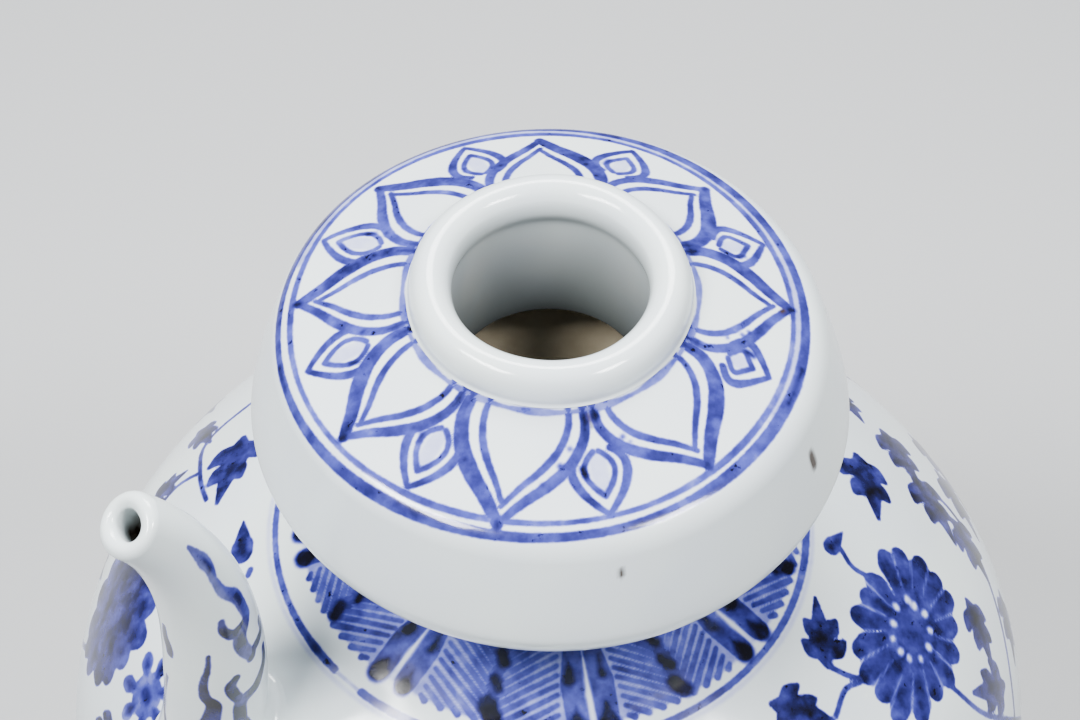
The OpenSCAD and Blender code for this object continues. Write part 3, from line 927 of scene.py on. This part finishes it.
# %% [markdown]
# ## Head, mouth, neck and foot
# These are left white. The head's wall swells quickly from the neck, is widest below its middle and
# draws in to the cover. The mouth is a rolled lip on a throat that hangs inside the head, so the ewer
# can be carried full without spilling. Inside, below the throat, no glaze reached the clay: it is
# stained brown by use. The foot ring stands on a band that was wiped bare before firing.

# %% Bare clay where the glaze stops
CLAY_ROUGHNESS = 0.85
CLAY_PATCHES = 6
STAINED_CLAY = ("#B3A78E", "#7A705C")
WIPED_CLAY = ("#D8C6A8", "#B98F63")


def with_bare_clay(name, colour, second_colour):
    """The plain glaze, giving way to rough clay where the mesh keeps more than one half as bare_clay."""
    material = glazed_porcelain(name, painted=False)
    tree = material.node_tree
    shader = tree.nodes["Principled BSDF"]
    glaze_colour = shader.inputs["Base Color"].links[0].from_socket
    glaze_rough = shader.inputs["Roughness"].links[0].from_socket
    place = add(tree, "TexCoord", out="Object")
    patches = add(tree, "TexNoise", {"Vector": place, "Scale": per_mm(CLAY_PATCHES), "Detail": 4.0})
    centred = add(tree, "Math", {0: patches, 1: 0.5}, operation="SUBTRACT")
    uneven = add(tree, "Math", {0: centred, 1: 0.5}, operation="MULTIPLY")
    share = add(tree, "Attribute", out="Fac", attribute_name="bare_clay")
    edge = add(tree, "Math", {0: share, 1: uneven}, operation="ADD")
    mask = add(tree, "MapRange", {0: edge, 1: 0.42, 2: 0.58})
    clay = add(tree, "Mix", {0: patches, 6: linear(colour), 7: linear(second_colour)}, out=2, data_type="RGBA")
    mixed = add(tree, "Mix", {0: mask, 6: glaze_colour, 7: clay}, out=2, data_type="RGBA")
    tree.links.new(mixed, shader.inputs["Base Color"])
    rough = add(tree, "Mix", {0: mask, 2: glaze_rough, 3: CLAY_ROUGHNESS})
    tree.links.new(rough, shader.inputs["Roughness"])
    return material


stained_inside = with_bare_clay("glaze_and_stained_clay_inside", *STAINED_CLAY)
foot_rim = with_bare_clay("glaze_and_wiped_foot_rim", *WIPED_CLAY)
print("materials:", stained_inside.name, foot_rim.name)

# %% Head wall
HEAD_COLUMNS = 640
ROUND_COLUMNS = 256
# Azimuth, height above the widest line and half-width of each rust-brown spot.
IRON_SPOTS = ((-59.5, 9.2, 0.85), (-108.5, 11.5, 0.40))
belly_curve = arc((NECK_TOP_R, bulge_z), head_r - NECK_TOP_R, HEAD_LOW, -90, 0, 40)
wall_rise = np.linspace(0, seam_z - bulge_z, 26)[1:]
wall = np.stack([wall_radius(wall_rise), bulge_z + wall_rise], 1)
inner_wall = (wall - [HEAD_WALL, 0])[::-2]
inner_curve = arc((NECK_TOP_R, bulge_z), head_r - NECK_TOP_R - HEAD_WALL, HEAD_LOW - HEAD_WALL, 0, -90, 16)
head_profile = np.vstack([[(NECK_TOP_R - NECK_WALL, head_z)], belly_curve, wall, inner_wall, inner_curve,
                          [(NECK_TOP_R - NECK_WALL, head_z + HEAD_WALL)]])
head_grid = revolve(head_profile, HEAD_COLUMNS)
inside_from = 1 + len(belly_curve) + len(wall)
head_inside = np.zeros(head_grid.shape[:2])
head_inside[inside_from:] = 1
head_canvas = new_canvas(head_grid)
for azimuth, above_bulge, half_width in IRON_SPOTS:
    a, r = math.radians(azimuth), wall_radius(above_bulge)
    spot = np.array([r * math.cos(a), r * math.sin(a), bulge_z + above_bulge])
    brush((head_canvas,), "rust_and_bore_shade", [spot - [0, 0, half_width], spot + [0, 0, 2 * half_width]], half_width)
piece("head_wall", hand_thrown(head_grid), ("head_bowl",), stained_inside,
      layers={"bare_clay": head_inside, "rust_and_bore_shade": paint_layers(head_canvas)["rust_and_bore_shade"]})

# %% Mouth ring and throat
THROAT_ROUNDING = 0.8
SHADE_FROM = 3.0
DARKEST_SHADE = 0.95
LIP_FOOT = 0.12 * (mouth_z - lip_z)
lip_half = (LIP_R - THROAT_R) / 2
lip_crown = arc((THROAT_R + lip_half, lip_z + LIP_FOOT), lip_half, mouth_z - lip_z - LIP_FOOT, 0, 180, 40)
throat_top = bezier(lip_crown[-1], (THROAT_R + 0.1, lip_z - 0.6), (THROAT_R + LIP_GROOVE, lip_z - 1.0),
                    (THROAT_R + LIP_GROOVE, lip_z - 2.2), 12)[1:]
throat = bezier(throat_top[-1], (THROAT_R + LIP_GROOVE, lip_z - 4.5), (THROAT_R, lip_z - 6),
                (THROAT_R, throat_z + THROAT_ROUNDING), 24)[1:]
throat_end = arc((THROAT_R + THROAT_ROUNDING, throat_z + THROAT_ROUNDING), THROAT_ROUNDING, THROAT_ROUNDING,
                 180, 270, 6)[1:]
collar = np.array([(COLLAR_R, throat_z), (COLLAR_R, lip_z), (LIP_R - 0.9, lip_z)])
lip_skirt = bezier((LIP_R + 0.35, lip_z - 0.05), (LIP_R + 0.12, lip_z + 0.1), (LIP_R, lip_z + 0.3),
                   lip_crown[0], 6)[:-1]
mouth_profile = np.vstack([throat_end[-1:], collar, lip_skirt, lip_crown, throat_top, throat,
                           throat_end[:-1]])
mouth_grid = revolve(mouth_profile, ROUND_COLUMNS)
# Down the throat the colour is mixed towards near-black, as painted shade for the dark inside of the throat:
# not at all 3 mm above the cover's top, and by 0.95 at the throat's end.
depth = (lip_z + SHADE_FROM - mouth_profile[:, 1]) / (lip_z + SHADE_FROM - throat_z)
in_throat = mouth_profile[:, 0] < THROAT_R + LIP_GROOVE + 1.0
throat_shade = np.where(in_throat, DARKEST_SHADE * np.clip(depth, 0, 1) ** 0.42, 0)
piece("rolled_mouth", hand_thrown(mouth_grid), ("mouth_ring",), plain_glaze,
      layers={"painted_throat_shade": np.broadcast_to(throat_shade[:, None], mouth_grid.shape[:2])})

# %% Neck
rise = np.linspace(0, 1, 40)
ends = NECK_BASE_R + (NECK_TOP_R - NECK_BASE_R) * rise
neck_r = ends - (ends - NECK_WAIST_R) * np.sin(np.pi * rise) ** 1.5
neck_outer = np.stack([neck_r, neck_z + (head_z - neck_z) * rise], 1)
# A fillet leads from just under the dome's surface into the neck's seventh row.
dome_at = belly_r * np.array([0.30, 0.295])
foot_curve = np.stack([dome_at, dome_z(dome_at) - 0.3], 1)
fillet = bezier(foot_curve[1], (NECK_BASE_R + 1.0, neck_z + 0.3), neck_outer[4] + [0.5, -1.0],
                neck_outer[6], 10)
neck_inner = (neck_outer - [NECK_WALL, 0])[::-3]
under_seat = np.array([(NECK_BASE_R - NECK_WALL, neck_z - 0.2)])
neck_outside = np.vstack([foot_curve[:1], fillet, neck_outer[7:]])
neck_grid = revolve(np.vstack([neck_outside, neck_inner, under_seat]), ROUND_COLUMNS)
neck_inside = np.zeros(neck_grid.shape[:2])
neck_inside[len(neck_outside) :] = 1
piece("neck_of_head", hand_thrown(neck_grid), ("neck",), stained_inside,
      layers={"bare_clay": neck_inside})

# %% Foot ring
FOOT_TOP_Z = 13.0
WIPED_BELOW = 1.2
foot_inner_r = FOOT_R - FOOT_WALL
foot_join = on_belly(0, height_angle(FOOT_TOP_Z))[[0, 2]]
outer_side = bezier(foot_join, foot_join + [-2.0, -1.6], (FOOT_R + 0.2, 7.0), (foot_rest_r, FOOT_BEVEL), 24)
rest_band = np.array([(foot_rest_r - 0.35, 0.3), (foot_rest_r - FOOT_BEVEL, 0.0),
                      (foot_inner_r + FOOT_BEVEL, 0.0), (foot_inner_r + 0.3, 0.3),
                      (foot_inner_r, FOOT_BEVEL)])
inner_side = line((foot_inner_r, FOOT_BEVEL + 0.4), (foot_inner_r, RECESS + 0.5), 8)
hidden = np.array([(foot_inner_r, RECESS + 1.5), (FOOT_R, 11.0)])
foot_profile = np.vstack([rest_band[::-1], outer_side[::-1], hidden[::-1], inner_side[::-1]])
foot_grid = revolve(foot_profile, ROUND_COLUMNS)
foot_bare = np.broadcast_to((foot_profile[:, 1] < WIPED_BELOW)[:, None] * 1.0, foot_grid.shape[:2])
piece("foot_ring_wiped", hand_thrown(foot_grid), ("foot_ring",), foot_rim,
      layers={"bare_clay": foot_bare})


# %% [markdown]
# ## The spout
# The spout was pressed in two half moulds and joined along its length. It leaves the belly almost
# upright and bends outwards to a small rolled tip. The centreline is a cubic curve in the XZ plane, and
# a ring of changing radius is carried along it, square to the curve: point = centre + r (cos a n +
# sin a y). Each column of this skin is followed down to the belly, and slip is smoothed into the corner:
# a short quadratic curve that leads from the belly's surface into the skin. The strokes on it are
# flames that climb its sides.

# %% The spout's centreline and radius
ROOT_INSET = 19.0
ROOT_LEAN = 11.5
TIP_REACH = 7.0
TIP_DROP = 0.4
TIP_ANGLE = 53.0
SPOUT_R, TIP_R = 8.1, 5.1
ROOT_BORE_R, TIP_BORE_R = 4.5, 2.1
BORE_WIDENS = 0.28
NARROWS_FROM, NARROWS_OVER = 0.3, 0.75
ROOT_FLARE, FLARES_BELOW, FLARES_OVER = 2.6, 0.22, 0.5
ROOT_HANDLE, TIP_HANDLE = 0.3, 0.34
SLIP_FILLET, SLIP_SUNK = 5.0, 0.35
SLIP_ROWS, SKIN_ROWS, ROLL_ROWS, BORE_ROWS = 13, 210, 14, 40
SEAM_RIDGE, SEAM_HALF_ANGLE = 0.10, 9
root_r = belly_r - ROOT_INSET
root_z = dome_z(root_r)
tip_z = rim_z - TIP_DROP
spout_rise = tip_z - root_z
lean, nod = math.radians(ROOT_LEAN), math.radians(TIP_ANGLE)
path_0 = np.array([-root_r, root_z])
path_1 = path_0 + ROOT_HANDLE * spout_rise * np.array([math.sin(lean), math.cos(lean)])
path_3 = np.array([-root_r - TIP_REACH, tip_z])
path_2 = path_3 - TIP_HANDLE * spout_rise * np.array([-math.cos(nod), math.sin(nod)])


def smooth(x):
    """x held between 0 and 1, then x squared times (3 - 2x): a soft step."""
    x = np.clip(x, 0, 1)
    return x * x * (3 - 2 * x)


def spout_path(t):
    """Centre and direction of the curve at t; below 0 it runs straight on into the belly.

    The centre is the cubic of the four path points, and the direction is its slope, made one long.
    """
    t = np.asarray(t, float)[..., None]
    s = np.clip(t, 0, 1)
    r = 1 - s
    centre = r**3 * path_0 + 3 * r**2 * s * path_1 + 3 * r * s * s * path_2 + s**3 * path_3
    way = r**2 * (path_1 - path_0) + 2 * r * s * (path_2 - path_1) + s * s * (path_3 - path_2)
    way = way / np.linalg.norm(way, axis=-1, keepdims=True)
    return centre + np.minimum(t, 0) * spout_rise * way, way


def skin_radius(t):
    """Outer radius: the middle radius, narrowing to the tip and flaring to the root by soft steps."""
    narrowing = (SPOUT_R - TIP_R) * smooth((t - NARROWS_FROM) / NARROWS_OVER)
    return SPOUT_R - narrowing + ROOT_FLARE * smooth((FLARES_BELOW - t) / FLARES_OVER)


def around(t, angle, radius):
    """Points round the centreline: angle 0 is the outer side, 90 degrees the +Y side."""
    centre, way = spout_path(t)
    a = np.radians(angle)
    x = centre[..., 0] - radius * np.cos(a) * way[..., 1]
    z = centre[..., 1] + radius * np.cos(a) * way[..., 0]
    return np.stack([x, radius * np.sin(a) + 0 * x, z], -1)


def on_spout(knots):
    """A smooth path through (t, angle) knots on the spout's skin."""
    path = through(knots, 6)
    return around(path[:, 0], path[:, 1], skin_radius(path[:, 0]))


print("spout:", round(spout_rise, 1), "mm high")

# %% Where the skin meets the belly
SPOUT_COLUMNS = 168
turns = np.linspace(0, 360, SPOUT_COLUMNS, endpoint=False)


def above_belly(points):
    """Share of the belly's size by which points lie outside its ellipsoid; negative inside."""
    x, y, z = np.moveaxis(points, -1, 0)
    return np.sqrt((x * x + y * y) / belly_r**2 + ((z - widest_z) / DOME_RISE) ** 2) - 1


# Each column of the skin is followed down to where it meets the belly.
t_try = np.linspace(0.45, -0.45, 900)[:, None]
t_meet = t_try[np.argmax(above_belly(around(t_try, turns, skin_radius(t_try))) < 0, axis=0), 0]
meet = around(t_meet, turns, skin_radius(t_meet))
# Belly's normal there, and the way along the belly that leads off from the spout.
normal = meet / np.array([belly_r, belly_r, DOME_RISE]) ** 2 - np.array([0, 0, widest_z / DOME_RISE**2])
normal /= np.linalg.norm(normal, axis=-1, keepdims=True)
off = around(t_meet, turns, skin_radius(t_meet) + 1) - meet
off -= (off * normal).sum(-1, keepdims=True) * normal
off /= np.linalg.norm(off, axis=-1, keepdims=True)
t_leave = t_meet + SLIP_FILLET / spout_rise
print("root between", meet[:, 2].min().round(1), "and", meet[:, 2].max().round(1), "mm above the table")

# %% Slip, skin, tip and bore
# The slip is a quadratic Bezier from just under the belly's surface up to the skin.
s = np.linspace(0, 1, SLIP_ROWS, endpoint=False)[:, None, None]
under_belly = meet + SLIP_FILLET * off - SLIP_SUNK * normal
leave = around(t_leave, turns, skin_radius(t_leave))
slip = (1 - s) ** 2 * under_belly + 2 * s * (1 - s) * meet + s * s * leave
# The mould's two seams are low ridges that fade in above the slip.
t_skin = t_leave + (1 - t_leave) * np.linspace(0, 1, SKIN_ROWS)[:, None]
seam = sum(np.exp(-(((turns - middle) / SEAM_HALF_ANGLE) ** 2)) for middle in (0, 180, 360))
ridge = SEAM_RIDGE * smooth((t_skin - t_leave) / 0.1) * seam
skin_points = around(t_skin, turns, skin_radius(t_skin) + ridge)
# The tip is half a circle rolled over from the skin to the bore, which is wider sideways.
tip_bore = TIP_BORE_R * (1 + BORE_WIDENS * np.sin(np.radians(turns)) ** 2)
tip_half = (TIP_R - tip_bore) / 2
roll = np.radians(np.linspace(10, 170, ROLL_ROWS))[:, None]
tip_way = spout_path(1.0)[1]
tip_points = around(np.ones((ROLL_ROWS, 1)), turns, TIP_R - tip_half + tip_half * np.cos(roll))
tip_points[..., [0, 2]] += (tip_half * np.sin(roll))[..., None] * tip_way
t_bore = np.linspace(1, 0, BORE_ROWS)[:, None] * np.ones_like(turns)
bore_points = around(t_bore, turns, ROOT_BORE_R + (tip_bore - ROOT_BORE_R) * t_bore)
spout_grid = np.concatenate([slip, skin_points, tip_points, bore_points])[:, ::-1]
spout_canvas = new_canvas(spout_grid)
print("spout:", spout_grid.shape[0], "rows")

# %% Flames on the spout
FLAME_WIDENS = 1.3
RING_AT = 0.055
# A flame is its knots, each the share of the way to the tip and the angle round the spout in degrees,
# then its first, middle and last half-width, then its tone.
FLAMES = (
    ([(0.89, -124), (0.845, -122), (0.795, -120), (0.755, -112)], (0.25, 0.95, 0.55), 0.56),
    ([(0.755, -112), (0.705, -112), (0.655, -124), (0.615, -126), (0.575, -126)], (0.5, 0.95, 0.8), 0.58),
    ([(0.575, -126), (0.555, -114), (0.535, -104), (0.5, -104), (0.46, -112)], (0.8, 1.05, 0.85), 0.70),
    ([(0.625, -90), (0.595, -88), (0.565, -96), (0.565, -106), (0.57, -116)], (0.45, 0.75, 0.55), 0.90),
    ([(0.5, -146), (0.475, -144), (0.47, -130), (0.465, -118), (0.45, -112)], (0.55, 0.65, 0.75), 0.90),
    ([(0.425, -138), (0.39, -134), (0.365, -124), (0.34, -112), (0.33, -98), (0.31, -90), (0.25, -90)],
     (0.5, 0.9, 0.9), 0.78),
    ([(0.415, -88), (0.39, -80), (0.355, -84), (0.32, -92)], (0.55, 0.8, 0.7), 0.92),
    ([(0.52, -62), (0.47, -58), (0.425, -52), (0.39, -50), (0.355, -52), (0.33, -60), (0.285, -58)],
     (0.25, 0.6, 1.1), 0.82),
    ([(0.59, -6), (0.54, -4), (0.5, -8), (0.475, -8)], (0.3, 0.75, 0.6), 0.88),
    ([(0.36, 2), (0.275, 12), (0.195, 18), (0.155, 8)], (0.35, 0.5, 0.5), 0.74),
    ([(0.285, -58), (0.22, -52), (0.15, -58), (0.10, -70)], (1.1, 1.3, 0.5), 0.80),
    ([(0.25, -90), (0.18, -100), (0.12, -96)], (0.9, 1.2, 0.5), 0.80),
)
for knots, (first, middle, last), tone in FLAMES:
    # Strokes in the middle of the outer side are painted once, the others on both sides.
    for side in (1, -1) if abs(knots[0][1]) > 10 else (1,):
        path = on_spout([(t, side * angle) for t, angle in knots])
        brush((spout_canvas,), "outline", path, FLAME_WIDENS * swell(len(path), first, middle, last), tone)
        brush((spout_canvas,), "accent", path[len(path) // 2 :][:5], rng.uniform(0.1, 0.7))
# A thin ring goes round the root.
ring = around(np.full(60, RING_AT), np.linspace(0, 360, 60), skin_radius(RING_AT) + 0.4)
brush((spout_canvas,), "outline", ring, 0.45, 0.55)
# Inside, below the drinking hole, the bore is painted dark brown: a brown edge round the hole, and painted
# shade for the dark inside of the tube.
bore_axis = around(np.linspace(0.3, 0.93, 12), np.zeros(12), 0.0)
brush((spout_canvas,), "rust_and_bore_shade", bore_axis, TIP_BORE_R * (1 + BORE_WIDENS) + 0.3)
piece("painted_spout", spout_grid, ("spout_left_half", "spout_right_half"), painted_glaze,
      layers=paint_layers(spout_canvas))
